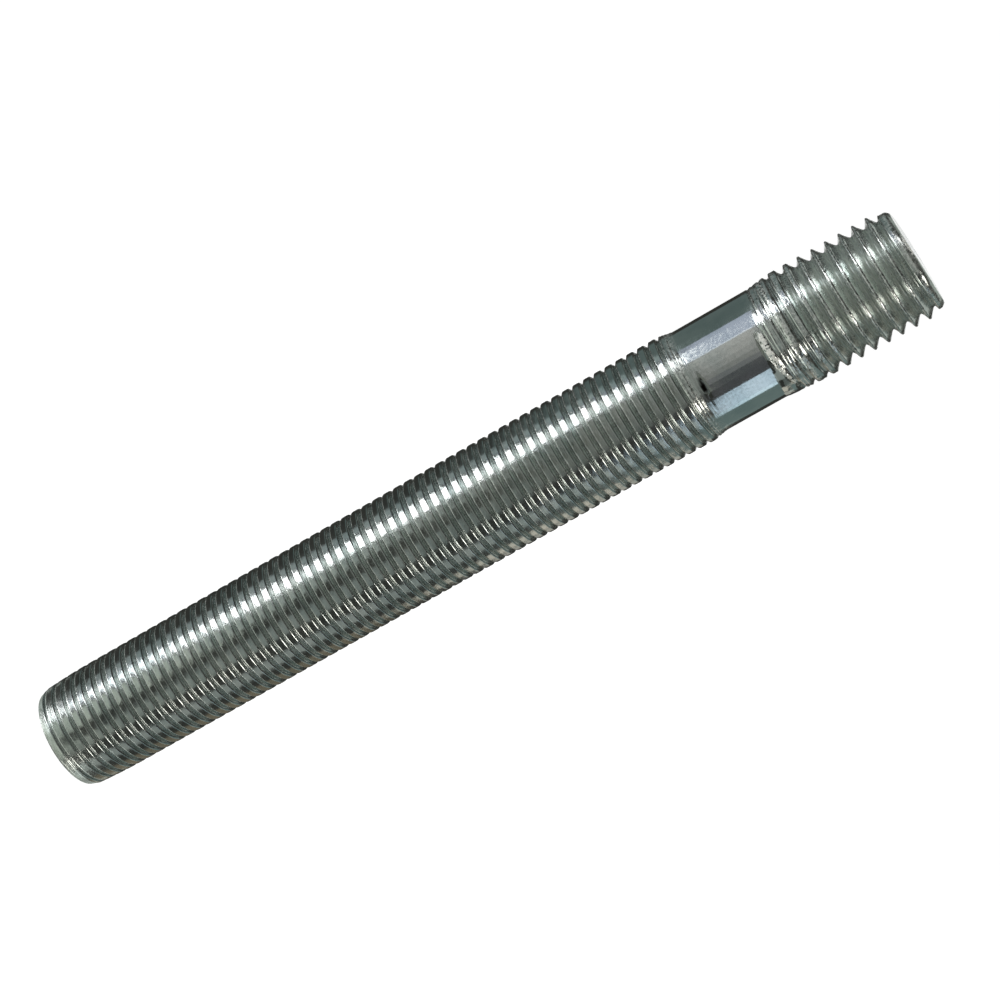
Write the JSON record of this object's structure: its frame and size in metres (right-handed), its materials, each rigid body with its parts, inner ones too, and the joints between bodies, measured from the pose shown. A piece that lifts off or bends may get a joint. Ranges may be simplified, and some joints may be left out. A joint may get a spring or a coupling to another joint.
{
  "type": "wheel stud",
  "caption": "Double-ended threaded wheel stud: a short coarse thread for the hub, a plain shank and a long fine thread for the wheel nut.",
  "frame": {"origin": "middle of the nut end's face, on the stud's axis; the stud stands on this face", "axes": "+Z along the stud's axis from the nut end (long thread) up to the hub end (short thread); X and Y are free"},
  "size_m": [0.0118, 0.0118, 0.101],
  "materials": {
    "zinc_plated_steel": "bright zinc plate, thread-rolled, lightly worn"
  },
  "bodies": {
    "root": {"wheel_stud": "zinc_plated_steel"}
  },
  "joints": []
}
